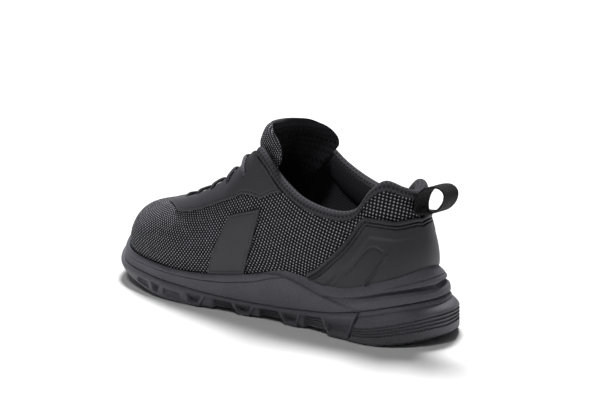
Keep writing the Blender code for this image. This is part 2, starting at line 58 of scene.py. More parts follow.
# along, across, lowRise, lowOut, topDrop, topOut, flange
sectionRows = [
    (0.0, 0.0, 16, 1.5, 18, 0, 19), (4.3, 25.2, 18, 2.0, 20, 1, 15),
    (14.9, 35.9, 20, 2.5, 18, 2, 9.5), (29.2, 37.9, 20, 2.5, 16, 4, 8),
    (44.8, 42.7, 26, 2.5, 28, 9, 8), (61.2, 50.5, 26, 2.5, 18, 22, 8.5),
    (76.2, 52.4, 24, 2.5, 8, 26, 8), (92.2, 37.0, 25, 2.5, 5, 29, 7.5),
    (100.6, -2.9, 25, 2.0, 5, 30, 7), (92.9, -36.4, 25, 2.5, 5, 25, 5.5),
    (76.9, -47.6, 24, 2.5, 8, 23, 7), (61.6, -45.1, 26, 2.5, 18, 20, 7.5),
    (44.8, -34.8, 26, 2.5, 28, 9, 8), (29.2, -32.0, 20, 2.5, 16, 4, 8),
    (14.9, -35.0, 20, 2.5, 18, 2, 9.5), (4.3, -25.2, 18, 2.0, 20, 1, 15),
]
# station, height
rimRows = [(0, 51), (1, 44), (2, 34.8), (2.5, 34), (3, 36.5), (3.4, 37), (4, 30), (5, 23.5), (6, 23.5),
           (7, 25.5), (8, 31)]
partingRows = [(0, 30), (0.8, 27.5), (1.5, 22), (2.2, 16.5), (2.9, 12.5), (3.5, 10.5), (4.2, 10), (4.8, 11),
               (5.4, 12.8), (6, 14.2), (6.9, 15.5), (8, 22)]
# station, along, side, height
topRows = [
    (0.0, 2.8, 0, 85.3), (0.6, 4.1, 11, 88.4), (1.1, 7.5, 20, 92.0), (1.5, 10.9, 25, 86.0),
    (1.9, 14.2, 29, 74.2), (2.4, 19.9, 33.5, 71.2), (3.0, 29.2, 36, 75.0), (3.6, 37.0, 35, 84.1),
    (4.1, 43.4, 32.5, 96.1), (4.4, 47.3, 29, 100), (4.7, 50.2, 26, 96.6), (5.2, 54.1, 22.5, 88.4),
    (6.0, 61.9, 18, 73.9), (6.7, 69.4, 14, 63.2), (7.4, 75.8, 8.5, 55.6), (8.0, 78.6, 1.5, 52.8),
    (8.6, 75.8, -5.5, 55.0), (9.3, 69.4, -11.5, 61.8), (10.0, 61.9, -15.5, 72.0), (10.8, 54.1, -20, 86.6),
    (11.3, 50.2, -24, 95.2), (11.6, 47.3, -28, 99.2), (11.9, 43.4, -32, 95.8), (12.4, 37.0, -34.5, 85.0),
    (13.0, 29.2, -35.5, 77.0), (13.6, 19.9, -33, 73.2), (14.1, 14.2, -28.5, 75.0), (14.5, 10.9, -24.5, 82.5),
    (14.9, 7.5, -19.5, 87.8), (15.4, 4.1, -11, 87.2),
]
# along, height
bedRows = [(-5, 34), (0, 34), (9, 31.5), (17, 29.5), (27, 27), (37, 24.5), (48, 22), (57, 20.5), (66, 20),
           (76, 20.5), (91, 23), (100, 27), (105, 28)]


def bothHalves(rows):
    back = [(turn - row[0],) + tuple(row[1:]) for row in reversed(rows) if 0 < row[0] < 8]
    return np.array([tuple(row) for row in rows] + back, float)


sectionTable = np.array([(k,) + row for k, row in enumerate(sectionRows)], float)
rimTable, partingTable, topTable = bothHalves(rimRows), bothHalves(partingRows), np.array(topRows, float)


def ring(table, u):   # smooth closed curve through the rows of a table
    knots = np.r_[table[-2:, 0] - turn, table[:, 0], table[:2, 0] + turn]
    values = np.vstack([table[-2:, 1:], table[:, 1:], table[:2, 1:]])
    slopes = (values[2:] - values[:-2]) / (knots[2:] - knots[:-2])[:, None]
    u = np.mod(np.asarray(u, float), turn)
    i = np.clip(np.searchsorted(knots, u, side="right") - 1, 1, len(knots) - 3)
    span = knots[i + 1] - knots[i]
    t = ((u - knots[i]) / span)[..., None]
    span = span[..., None]
    near = (1 + 2 * t) * (1 - t) ** 2 * values[i] + t * (1 - t) ** 2 * span * slopes[i - 1]
    return near + t * t * (3 - 2 * t) * values[i + 1] + t * t * (t - 1) * span * slopes[i]


def half(u):
    u = np.mod(np.asarray(u, float), turn)
    return np.minimum(u, turn - u)


def step(low, high, value):
    t = np.clip((np.asarray(value, float) - low) / (high - low), 0, 1)
    return t * t * (3 - 2 * t)


def bump(value, width):
    return np.exp(-(value / width) ** 2)


def unit(vectors):
    return vectors / np.linalg.norm(vectors, axis=-1, keepdims=True)


def tableAt(rows, column, spot):
    rows = np.array(rows, float)
    return np.interp(spot, rows[:, 0], rows[:, column])


def even(first, last, count, sharp=0.0):   # samples that crowd towards both ends
    t = np.linspace(0, 1, count)
    return first + (last - first) * (t - sharp * np.sin(2 * math.pi * t) / (2 * math.pi))


def arcs(points, axis=0):   # way along a line, or along every line of a grid
    run = np.cumsum(np.linalg.norm(np.diff(points, axis=axis), axis=-1), axis=axis)
    return np.insert(run, 0, 0.0, axis=axis)


def feather(u):
    row = ring(sectionTable, u)
    return np.stack([shoe["heelBack"] + row[..., 0] / 100 * shoe["length"],
                     row[..., 1] / 100 * shoe["ballWidth"]], -1)


def outward(u):
    run = feather(np.asarray(u) + 0.02) - feather(np.asarray(u) - 0.02)
    return unit(np.stack([-run[..., 1], run[..., 0]], -1))


def offsetPlan(u, distance):
    return feather(u) + outward(u) * np.asarray(distance, float)[..., None]


def rimHeight(u):
    return ring(rimTable, u)[..., 0]


def partingHeight(u):
    return ring(partingTable, u)[..., 0]


def flange(u):
    return ring(sectionTable, u)[..., 6]


def bedHeight(x):
    return tableAt(bedRows, 1, (np.asarray(x, float) - shoe["heelBack"]) / shoe["length"] * 100)


def topLine(u):
    row = ring(topTable, u)
    return np.stack([shoe["heelBack"] + row[..., 0] / 100 * shoe["length"], row[..., 1],
                     row[..., 2] / 100 * shoe["instep"]], -1)


def upperPoint(u, t):   # t runs from the rim to the top line
    u, t = np.broadcast_arrays(np.asarray(u, float), np.asarray(t, float))
    row = ring(sectionTable, u)
    side = outward(u)
    side = np.concatenate([side, np.zeros(side.shape[:-1] + (1,))], -1)
    up = np.array([0, 0, 1.0])
    foot = np.concatenate([feather(u), rimHeight(u)[..., None]], -1)
    top = topLine(u)
    low = foot + side * row[..., 3:4] + up * row[..., 2:3]
    high = top + side * row[..., 5:6] - up * row[..., 4:5]
    t = t[..., None]
    return (1 - t) ** 3 * foot + 3 * t * (1 - t) ** 2 * low + 3 * t * t * (1 - t) * high + t ** 3 * top


def upperNormal(u, t):
    u, t = np.broadcast_arrays(np.asarray(u, float), np.asarray(t, float))
    ahead = upperPoint(u + 0.03, t) - upperPoint(u - 0.03, t)
    rise = upperPoint(u, np.minimum(t + 0.02, 1)) - upperPoint(u, np.maximum(t - 0.02, 0))
    return unit(np.cross(rise, ahead))


def ribShare(u, way, fromTop):   # share of the rib at a way down from the top line, or up from the rim
    u, way = np.broadcast_arrays(np.asarray(u, float), np.asarray(way, float))
    t = np.linspace(0, 1, 81)
    ribs, which = np.unique(np.round(u, 6).ravel(), return_inverse=True)
    lengths = arcs(upperPoint(ribs[:, None], t[None, :]), 1)
    share = np.empty(u.size)
    flat = way.ravel()
    order = np.argsort(which, kind="stable")
    edges = np.searchsorted(which[order], np.arange(len(ribs) + 1))
    for k, length in enumerate(lengths):
        spots = order[edges[k]:edges[k + 1]]
        place = length[-1] - flat[spots] if fromTop else flat[spots]
        share[spots] = np.interp(place, length, t)
    return share.reshape(u.shape)


def belowTop(u, drop, lift):   # a negative drop goes on past the top line
    u, drop, lift = np.broadcast_arrays(*(np.asarray(value, float) for value in (u, drop, lift)))
    t = ribShare(u, np.maximum(drop, 0), True)
    spot = upperPoint(u, t) + upperNormal(u, t) * lift[..., None]
    return spot - unit(upperPoint(u, 1.0) - upperPoint(u, 0.96)) * np.minimum(drop, 0)[..., None]


def through(points, count):   # smooth open line through a few points
    points = np.asarray(points, float)
    at = np.linspace(0, len(points) - 1, count)
    slopes = np.gradient(points, axis=0)
    i = np.minimum(at.astype(int), len(points) - 2)
    t = (at - i)[:, None]
    line = (1 + 2 * t) * (1 - t) ** 2 * points[i] + t * (1 - t) ** 2 * slopes[i]
    return line + t * t * (3 - 2 * t) * points[i + 1] + t * t * (t - 1) * slopes[i + 1]


def nearLine(x, z, line):   # distance of points from a polyline in a side view
    best = np.full(np.shape(x), 1e9)
    for (x0, z0), (x1, z1) in zip(line, line[1:]):
        dx, dz = x1 - x0, z1 - z0
        t = np.clip(((x - x0) * dx + (z - z0) * dz) / (dx * dx + dz * dz), 0, 1)
        best = np.minimum(best, np.hypot(x - x0 - t * dx, z - z0 - t * dz))
    return best


def capGrid(loop, count):   # strips across a loop from the outer side to the inner
    middle = (len(loop) - 1) // 2
    left, right = loop[:middle + 1], loop[::-1][:middle + 1]
    a = np.linspace(0, 1, count)[:, None, None]
    return left * (1 - a) + right * a


# mesh helpers: every piece starts as a grid primitive whose points are set to the shape

def corners(piece):   # point number of every face corner
    numbers = np.empty(len(piece.data.loops), int)
    piece.data.loops.foreach_get("vertex_index", numbers)
    return numbers


def gridPiece(name, points, uv, hint, weld=True):
    points, uv = np.asarray(points, float), np.asarray(uv, float)
    rows, cols = points.shape[:2]
    r, c = rows // 2, cols // 2
    face = np.cross(points[r, c + 1] - points[r, c], points[r + 1, c] - points[r, c])
    if np.dot(face, hint) < 0:
        points, uv = points[:, ::-1], uv[:, ::-1]
    bpy.ops.mesh.primitive_grid_add(x_subdivisions=cols - 1, y_subdivisions=rows - 1, size=1.0)
    piece = bpy.context.object
    piece.name = piece.data.name = name
    flat = (points.reshape(-1, 3) + np.array(shoe["place"])) * mm
    piece.data.vertices.foreach_set("co", flat.ravel())
    piece.data.uv_layers.active.data.foreach_set("uv", uv.reshape(-1, 2)[corners(piece)].ravel())
    piece.data.update()
    if weld:
        weldPiece(piece)
    return piece


def onlyThis(piece):
    bpy.ops.object.select_all(action="DESELECT")
    piece.select_set(True)
    bpy.context.view_layer.objects.active = piece


def weldPiece(piece, reach=welds["grid"], fill=False, outside=False):
    onlyThis(piece)
    bpy.ops.object.mode_set(mode="EDIT")
    bpy.ops.mesh.select_all(action="SELECT")
    bpy.ops.mesh.remove_doubles(threshold=reach)
    bpy.ops.mesh.dissolve_degenerate(threshold=reach)
    if fill:
        bpy.ops.mesh.select_all(action="SELECT")
        bpy.ops.mesh.fill_holes(sides=0)
    if outside:
        bpy.ops.mesh.select_all(action="SELECT")
        bpy.ops.mesh.normals_make_consistent(inside=False)
    bpy.ops.object.mode_set(mode="OBJECT")


def backWall(piece, thick, lined=0):
    onlyThis(piece)
    wall = piece.modifiers.new("wall", "SOLIDIFY")
    wall.material_offset = wall.material_offset_rim = lined
    wall.thickness = thick * mm
    wall.offset = -1.0
    wall.use_even_offset = True
    bpy.ops.object.modifier_apply(modifier="wall")


def joinPieces(name, pieces):
    bpy.ops.object.select_all(action="DESELECT")
    for piece in pieces:
        piece.select_set(True)
    bpy.context.view_layer.objects.active = pieces[0]
    bpy.ops.object.join()
    pieces[0].name = pieces[0].data.name = name
    return pieces[0]


def dress(piece, *names):
    for name in names:
        piece.data.materials.append(finishes[name])


def lineInside(piece, part, border):   # faces past a border in the piece's own UV take the second finish
    layer = piece.data.uv_layers.active.data
    for face in piece.data.polygons:
        value = sum(layer[k].uv[part] for k in face.loop_indices) / len(face.loop_indices)
        face.material_index = 1 if value > border else 0


def settle(piece, node, angle=40):
    onlyThis(piece)
    bpy.ops.object.shade_smooth_by_angle(angle=math.radians(angle))
    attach(piece, "root")
    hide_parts(node)
    print("made", piece.name, len(piece.data.polygons), "faces")


# shader maths: a wired socket with operators

class Wire:
    def __init__(self, tree, socket=None):
        self.tree, self.socket = tree, socket

    def add(self, kind, settings=None, inputs=None, out=0):
        node = self.tree.nodes.new("ShaderNode" + kind)
        for key, value in (settings or {}).items():
            setattr(node, key, value)
        for key, value in (inputs or {}).items():
            if isinstance(value, Wire):
                self.tree.links.new(value.socket, node.inputs[key])
            else:
                node.inputs[key].default_value = value
        return Wire(self.tree, node.outputs[out])

    def maths(self, operation, *others):
        values = {k: value for k, value in enumerate((self, *others))}
        return self.add("Math", {"operation": operation}, values)

    def __add__(self, other):
        return self.maths("ADD", other)

    def __mul__(self, other):
        return self.maths("MULTIPLY", other)

    def __sub__(self, other):
        return self.maths("SUBTRACT", other)

    def __rsub__(self, other):
        return self.add("Math", {"operation": "SUBTRACT"}, {0: other, 1: self})

    __radd__, __rmul__ = __add__, __mul__

    def smooth(self, low, high):
        return self.add("MapRange", {"interpolation_type": "SMOOTHSTEP"}, {0: self, 1: low, 2: high})

    def blend(self, low, high):   # between two wired colours, or plain ones
        ends = [end if isinstance(end, Wire) else (*end, 1) for end in (low, high)]
        return self.add("Mix", {"data_type": "RGBA"}, {0: self, 6: ends[0], 7: ends[1]}, 2)

    def noise(self, scale, detail):
        place = self.add("TexCoord", out=3)
        return self.add("TexNoise", {}, {"Vector": place, "Scale": scale, "Detail": detail})

    def split(self):   # first two parts of a vector
        return [self.add("SeparateXYZ", {}, {0: self}, k) for k in (0, 1)]


def newFinish(name, sheen=0.0, specular=0.4):
    made = bpy.data.materials.new(name)
    made.use_nodes = True
    shader = made.node_tree.nodes["Principled BSDF"]
    shader.inputs["Sheen Weight"].default_value = sheen
    shader.inputs["Sheen Roughness"].default_value = 0.5
    shader.inputs["Specular IOR Level"].default_value = specular
    return made, shader, Wire(made.node_tree)


def wearFinish(made, shader, colour, rough, height, depth):
    tree = made.node_tree
    tree.links.new(colour.socket, shader.inputs["Base Color"])
    if isinstance(rough, Wire):
        tree.links.new(rough.socket, shader.inputs["Roughness"])
    else:
        shader.inputs["Roughness"].default_value = rough
    relief = colour.add("Bump", {}, {"Height": height, "Distance": depth})
    tree.links.new(relief.socket, shader.inputs["Normal"])
    return made


weave = {
    "first": (2.69, -0.90), "second": (0.67, 2.15),   # lattice steps, mm on the cloth
    "knot": 0.74, "hole": 0.80,
    "dark": (0.0015, 0.0015, 0.002), "thread": (0.018, 0.018, 0.021), "light": (0.55, 0.55, 0.62),
    "depth": 0.0005,
}


def weaveFinish(name, scale=1.0):
    made, shader, net = newFinish(name, 0.0, 0.15)
    (ax, ay), (bx, by) = weave["first"], weave["second"]
    area = ax * by - ay * bx
    across, along = (part * scale for part in net.add("TexCoord", out=2).split())
    i = across * (by / area) - along * (bx / area)
    j = along * (ax / area) - across * (ay / area)

    def distance(shift):
        p = (i + shift).maths("FRACT") - 0.5
        q = (j + shift).maths("FRACT") - 0.5
        dx = p * ax + q * bx
        dy = p * ay + q * by
        return (dx * dx * 0.75 + dy * dy).maths("SQRT")

    knot = 1 - distance(0.0).smooth(weave["knot"] * 0.45, weave["knot"])
    hole = 1 - distance(0.5).smooth(weave["hole"] * 0.35, weave["hole"])
    fuzz, patch = net.noise(900.0, 3.0), net.noise(160.0, 2.0)
    cloth = (hole * 0.92).blend(weave["thread"], weave["dark"])
    bright = knot * (0.55 + patch * 0.7) * (0.75 + fuzz * 0.5)
    height = knot - hole * 0.8 + fuzz * 0.15
    return wearFinish(made, shader, bright.blend(cloth, weave["light"]), 0.72, height, weave["depth"])


def filmFinish(name, colour, rough, grain=2600.0, depth=0.00006, speckle=0.0, stitches=()):
    made, shader, net = newFinish(name, 0.0, 0.34)
    fine = net.add("TexVoronoi", {"feature": "SMOOTH_F1"},
                   {"Vector": net.add("TexCoord", out=3), "Scale": grain, "Smoothness": 0.6})
    cloud, speck = net.noise(45.0, 5.0), net.noise(1300.0, 2.0)
    dark = tuple(c * (0.90 - 0.10 * speckle) for c in colour)
    light = tuple(c * (1.10 + 0.22 * speckle) for c in colour)
    tone = cloud * (0.6 - 0.4 * speckle) + speck * (0.4 + 0.4 * speckle)
    shade = tone.smooth(0.3, 0.7).blend(dark, light)
    height = fine * 0.8 + speck * 0.4
    if stitches:   # rows of thread at distances from the border, which the piece's own UV gives
        along, away = net.add("TexCoord", out=2).split()
        for distance, pitch, gap in stitches:
            row = 1 - (away - distance).maths("ABSOLUTE").smooth(0.25, 0.6)
            dash = ((along * (1 / pitch)).maths("FRACT") - 0.5).maths("ABSOLUTE").smooth(0.5 - gap, 0.5)
            hole = row * dash
            shade = (hole * 0.85).blend(shade, (0.002, 0.002, 0.002))
            height = height - hole * 3.0
    roughness = rough - 0.06 + cloud * 0.12
    return wearFinish(made, shader, shade, roughness, height, depth)


def liningFinish(name, colour, pins=2.2, depth=0.0004, sheen=0.06, rim=0.0):
    made, shader, net = newFinish(name, sheen, 0.12)
    across, along = net.add("TexCoord", out=2).split()
    row = (along * (1 / pins)).maths("FLOOR").maths("MODULO", 2.0) * 0.5
    p = (across * (1 / pins) + row).maths("FRACT") - 0.5
    q = (along * (1 / pins)).maths("FRACT") - 0.5
    pin = 1 - (p * p + q * q).maths("SQRT").smooth(0.14, 0.36)
    fuzz = net.noise(1100.0, 4.0)
    tone = (fuzz * 0.8 + 0.1).blend(tuple(c * 0.7 for c in colour), tuple(c * 1.35 for c in colour))
    if rim:   # painted highlight: lighter towards the edge, where a rounded rim catches the light
        edge = net.add("Attribute", {"attribute_name": "rim"}, {}, 2)
        tone = (edge * (0.5 + fuzz * 0.7)).blend(tone, (rim, rim, rim * 1.15))
    shade = (pin * 0.85).blend(tone, tuple(c * 0.25 for c in colour))
    return wearFinish(made, shader, shade, 0.88, fuzz * 0.3 - pin, depth)


def webbingFinish(name, colour, pitch=1.1, depth=0.0003):
    made, shader, net = newFinish(name, 0.06, 0.2)
    across, along = net.add("TexCoord", out=2).split()
    rib = (across * (2 * math.pi / pitch)).maths("SINE")
    pick = (along * (2 * math.pi / (pitch * 0.8)) + rib * 1.2).maths("SINE")
    fuzz = net.noise(1400.0, 3.0)
    mix = rib * 0.25 + pick * 0.25 + fuzz * 0.5 + 0.25
    shade = mix.smooth(0.1, 0.9).blend(tuple(c * 0.5 for c in colour), tuple(c * 1.6 for c in colour))
    return wearFinish(made, shader, shade, 0.82, rib * 0.5 + pick * 0.5 + fuzz * 0.2, depth)


finishes = {
    "mesh": weaveFinish("woven_mesh"),
    "tongueMesh": weaveFinish("tongue_mesh", 1.3),
    "film": filmFinish("overlay_film", (0.050, 0.050, 0.058), 0.55, stitches=[(1.9, 3.0, 0.22)]),
    "panel": filmFinish("panel_film", (0.055, 0.055, 0.064), 0.52),
    "counter": filmFinish("counter_film", (0.042, 0.042, 0.049), 0.52,
                          stitches=[(3.2, 2.4, 0.3), (5.4, 2.4, 0.3)]),
    "midsole": filmFinish("midsole_foam", (0.11, 0.11, 0.128), 0.60, 1900.0, 0.00012, 0.7),
    "outsole": filmFinish("outsole_rubber", (0.105, 0.105, 0.121), 0.56, 2100.0, 0.00010, 0.5),
    "lining": liningFinish("lining_cloth", (0.085, 0.085, 0.098)),
    # the tongue lining gets a painted highlight, lighter near its edge
    "tongueLining": liningFinish("tongue_lining", (0.012, 0.012, 0.014), 3.4, sheen=0.12, rim=0.055),
    "cuff": liningFinish("cuff_cloth", (0.060, 0.060, 0.069), 3.0, 0.0003),
    "insole": liningFinish("footbed_cloth", (0.010, 0.010, 0.012), 1.6, 0.0002),
    "webbing": webbingFinish("webbing", (0.014, 0.014, 0.016)),
    "lace": webbingFinish("lace_cord", (0.14, 0.14, 0.16), 1.3),
}
print("finishes ready")


# upper: woven shell, its cloth laid out flat once and carried back to the last
upper = {
    "cols": 481, "rows": 66, "clothCols": 161, "clothRows": 25, "passes": 30, "relax": 3000, "give": 0.28,
    "level": (-70.0, -30.0, 45.0),   # x from and to, and lowest z, of the patch that is laid level
    # the weave along and up the cloth, and how it closes up beside the toe
    "long": 1.06, "tall": 0.98, "toeTight": 0.45, "toeAt": 100.0, "toeReach": 55.0,
}


def springEnds(grid, down, right):   # views of both ends of every spring of one kind
    rows, cols = grid.shape[:2]
    first = grid[:rows - down, max(0, -right):cols - max(0, right)]
    return first, grid[down:, max(0, right):cols + min(0, right)]


def relaxCloth(flat, points):   # pull the flat net towards the true lengths of the last
    springs = ((0, 1), (1, 0), (1, 1), (1, -1))
    lengths = [np.linalg.norm(np.subtract(*springEnds(points, *s)), axis=-1) for s in springs]
    for _ in range(upper["relax"]):
        move = np.zeros(flat.shape, complex)
        for spring, length in zip(springs, lengths):
            a, b = springEnds(flat, *spring)
            pull = (b - a) * (0.5 - 0.5 * length / np.maximum(np.abs(b - a), 0.001))
            first, second = springEnds(move, *spring)
            first += pull
            second -= pull
        flat = flat + move * upper["give"]
    a, b = springEnds(flat, 0, 1)
    print("cloth relaxed, stretch", round(float(np.mean(np.abs(np.abs(b - a) / lengths[0] - 1))), 3))
    return flat


def flatCloth():   # flat place of the cloth, in millimetres, for a coarse net of the upper
    u, t = np.linspace(0, turn, upper["clothCols"]), np.linspace(0, 1, upper["clothRows"])
    points = upperPoint(u[None, :], t[:, None])
    net = gridPiece("cloth", points, np.zeros(points.shape[:2] + (2,)), (1, 0, 0.2), weld=False)
    onlyThis(net)
    bpy.ops.object.mode_set(mode="EDIT")
    bpy.ops.mesh.select_all(action="SELECT")
    bpy.ops.uv.unwrap(method="MINIMUM_STRETCH", iterations=upper["passes"], margin=0.0)
    bpy.ops.object.mode_set(mode="OBJECT")
    loopUv = np.empty(len(net.data.loops) * 2)
    net.data.uv_layers.active.data.foreach_get("uv", loopUv)
    flat = np.empty(len(net.data.vertices), complex)
    flat[corners(net)] = loopUv[0::2] + 1j * loopUv[1::2]
    flat = flat.reshape(points.shape[:2])   # it may run the other way round, which relaxing sets right
    bpy.data.objects.remove(net, do_unlink=True)
    # scale from the whole cloth, turn from the outer quarter
    real = np.linalg.norm(np.diff(points, axis=1), axis=-1)
    drawn = np.abs(np.diff(flat, axis=1))
    flat = relaxCloth(flat * (real.sum() / drawn.sum()), points)
    back, front, low = upper["level"]
    x, y, z = (points[..., k] for k in range(3))
    pick = (x > back) & (x < front) & (y > 0) & (z > low)
    want = -points[pick][:, 0] + 1j * points[pick][:, 2]
    best = None
    for have in (flat, np.conj(flat)):
        offset = have[pick] - have[pick].mean()
        lean = np.vdot(offset, want - want.mean())
        miss = np.abs(want - want.mean() - offset * lean / abs(lean)).mean()
        if best is None or miss < best[0]:
            best = (miss, have * lean / abs(lean))
    print("cloth laid out, miss", round(float(best[0]), 2), "mm")
    return u, t, best[1]


def makeUpper():
    u = np.linspace(0, turn, upper["cols"])
    shares = np.linspace(0, 1, upper["rows"])
    welt = offsetPlan(u, -shoe["weltInset"])
    points = np.array([np.c_[welt, bedHeight(welt[:, 0]) + shoe["gap"]]] + [upperPoint(u, t) for t in shares])
    clothU, clothT, flat = flatCloth()
    wide = np.array([np.interp(u, clothU, row) for row in flat])
    tall = np.array([np.interp(shares, clothT, col) for col in wide.T]).T
    cloth = np.vstack([tall[:1] * 2 - tall[1:2], tall])
    toe = cloth[:, len(u) // 2].mean()
    along, up = (cloth - toe).real, (cloth - toe).imag
    closer = upper["toeTight"] * upper["toeReach"] * np.tanh((along - upper["toeAt"]) / upper["toeReach"])
    uv = np.stack([along * upper["long"] + closer, up * upper["tall"]], -1)
    piece = gridPiece("woven_upper", points, uv, (1, 0, 0.2))
    dress(piece, "mesh", "lining")
    backWall(piece, shoe["wall"], 1)
    settle(piece, "upper")


makeUpper()


# midsole: cup with a bead, a flat side panel and rolls round the heel
midsole = {
    "cols": 701, "rows": 110,
    # station, share of height of the crease under the bead
    "crease": [(3.2, 0.86), (3.4, 0.83), (4.0, 0.73), (4.4, 0.67), (5.0, 0.65), (6.2, 0.62), (7.0, 0.57),
               (8.0, 0.55)],
    # share of height, station of the slanted border between side panel and heel rolls
    "border": [(0.0, 1.55), (0.05, 1.62), (0.3, 1.90), (0.52, 2.24), (0.7, 2.66), (0.84, 3.22), (1.0, 3.9)],
    # station, shares of height of the two creases round the heel
    "rolls": [(0.0, 0.43, 0.22), (0.35, 0.46, 0.27), (0.7, 0.53, 0.34), (1.1, 0.60, 0.39), (2.2, 0.61, 0.39)],
    "borderSoft": 0.018, "lip": 1.0, "capRows": 9,
}


def midsoleOut(u, h):   # share of the flange that the midsole's side stands out, by station and height
    spot = half(u)
    crease = tableAt(midsole["crease"], 1, spot)
    bead = np.clip((h - crease) / (1 - crease), 0, 1)
    plain = np.clip(h / crease, 0, 1)
    roll = 0.14 + 0.38 * np.sqrt(1 - bead ** 2)   # shares of the flange, here and below
    flat = 0.66 - 0.20 * plain ** 0.8 - 0.06 * np.clip(1 - plain / 0.06, 0, 1) ** 2
    fore = np.where(h > crease, roll, flat) - 0.085 * bump(h - crease, 0.022)
    groove, strip = (tableAt(midsole["rolls"], k, spot) for k in (1, 2))
    top = np.clip((h - groove) / (1 - groove), 0, 1)
    sharp = 0.4 + 0.6 * step(0.0, 0.4, spot)
    upperRoll = 0.05 + 0.40 * (1 - top ** 1.6) - 0.13 * sharp * np.clip(1 - top / 0.12, 0, 1) ** 2
    upperRoll = upperRoll - 0.05 * bump(top - 0.38, 0.035) * (1 - step(0.7, 1.3, spot))
    low = np.clip(h / strip, 0, 1)
    lowerRoll = 0.60 - 0.07 * low ** 3 - 0.09 * np.clip(1 - low / 0.22, 0, 1) ** 2
    deep = (1 - step(1.55, 2.05, spot)) * (0.25 + 0.75 * step(0.0, 0.35, spot))
    across = np.clip((h - strip) / (groove - strip), 0, 1)
    hatch = 0.016 * np.sin(2 * math.pi * (spot * 14 + across * 1.5)) * bump(across - 0.5, 0.3)
    sunk = 0.50 - 0.16 * across - 0.12 * deep * step(0.0, 0.8, across) + hatch
    heel = np.where(h > groove, upperRoll, np.where(h < strip, lowerRoll, sunk))
    edge = tableAt(midsole["border"], 1, h) - spot
    mix = step(-midsole["borderSoft"], midsole["borderSoft"], edge)
    ridge = midsole["lip"] / flange(u) * bump(edge + 0.025, 0.03) * (h < crease)
    return fore + (heel - fore) * mix + ridge


def makeMidsole():
    u = np.linspace(0, turn, midsole["cols"])
    low, rim = partingHeight(u) + shoe["soleGap"], rimHeight(u)
    welt = offsetPlan(u, -shoe["weltInset"] + shoe["gap"])
    rows = [np.c_[welt, bedHeight(welt[:, 0])], np.c_[offsetPlan(u, shoe["gap"]), rim - 0.8]]
    for h in 1 - even(0, 1, midsole["rows"], 0.5):
        out = np.maximum(midsoleOut(u, h) * flange(u), shoe["gap"] + 0.2)
        rows.append(np.c_[offsetPlan(u, out), low + (rim - low) * h])
    points = np.array(rows)
    around = arcs(points[len(rows) // 2])
    uv = np.stack(np.meshgrid(around, np.arange(len(rows)) * 0.3), -1)
    side = gridPiece("foam_midsole", points, uv, (1, 0, 0))
    blank = np.zeros((midsole["capRows"], len(u) // 2 + 1, 2))
    bed = gridPiece("bed", capGrid(points[0], midsole["capRows"]), blank, (0, 0, 1))
    base = gridPiece("base", capGrid(points[-1], midsole["capRows"]), blank, (0, 0, -1))
    piece = joinPieces("foam_midsole", [side, bed, base])
    weldPiece(piece, welds["caps"])
    dress(piece, "midsole")
    settle(piece, "midsole", 50)


makeMidsole()


# outsole: lugs and windows along the side, ribs round the heel, tread underneath
outsole = {
    "cols": 901, "rows": 70, "lidRows": 7, "underRows": 61,
    # share of height, share of the flange
    "fore": [(0.0, 0.76), (0.04, 0.86), (0.12, 0.93), (0.30, 0.98), (0.60, 1.0), (0.80, 0.97), (0.90, 0.90),
             (0.96, 0.82), (1.0, 0.70)],
    # station, shares of height of the fine line, the ribs' top and the ribs' foot round the heel
    "bands": [(0.0, 0.86, 0.70, 0.24), (0.28, 0.87, 0.69, 0.25), (0.63, 0.88, 0.65, 0.26),
              (0.85, 0.88, 0.62, 0.26), (1.1, 0.87, 0.58, 0.24), (1.6, 0.84, 0.53, 0.20),
              (1.9, 0.83, 0.52, 0.18)],
    "ribs": 4, "ribDepth": 1.1,
    # near edge low and high, far edge low and high, as stations
    "lugs": [(1.78, 1.58, 2.22, 2.42), (2.96, 2.83, 3.20, 3.38), (3.94, 3.79, 4.16, 4.30),
             (4.88, 4.72, 5.08, 5.22), (5.75, 5.62, 5.89, 6.02)],
    # ribbed windows between the lugs: near edge low and high, far edge
    "windows": [(2.27, 2.45, 2.80), (3.25, 3.42, 3.74), (4.20, 4.34, 4.62)],
    # closed recesses near the toe: near, far
    "recesses": [(5.26, 5.63), (6.00, 6.30)],
    "stationLength": 44.0, "frame": 2.6, "hollow": 3.8, "facet": 1.4,   # millimetres
    "windowDepth": 3.4, "windowRib": 0.8, "windowRibs": 6.5, "recessDepth": 1.9, "channel": 2.3,
    "blockSeam": 2.2, "fineLine": 0.9, "tooth": 0.9, "toothPitch": 0.06,
    "toeSpring": 14.5, "toeStart": 55.0, "toeRun": 105.0,
    "heelBevel": 5.0, "heelStart": -118.0, "heelRun": 32.0,
    "archRise": 3.0, "archAt": -28.0, "archHalf": 18.0, "archLean": 1.6,
    "treadPitch": 13.0, "treadLean": 0.55, "treadDepth": 2.2, "treadMiddle": 2.0,
}


def ground(x, y):   # underside: heel bevel, arch on the inner side and toe spring
    toe = step(outsole["toeStart"], outsole["toeStart"] + outsole["toeRun"], x) * outsole["toeSpring"]
    heel = np.clip((outsole["heelStart"] - x) / outsole["heelRun"], 0, 2) ** 2 * outsole["heelBevel"]
    inner = np.clip(0.5 - y / shoe["ballWidth"] * outsole["archLean"], 0, 1)
    arch = np.clip(1 - np.abs(x - outsole["archAt"]) / outsole["archHalf"], 0, 1) * outsole["archRise"]
    return toe + heel + arch * inner


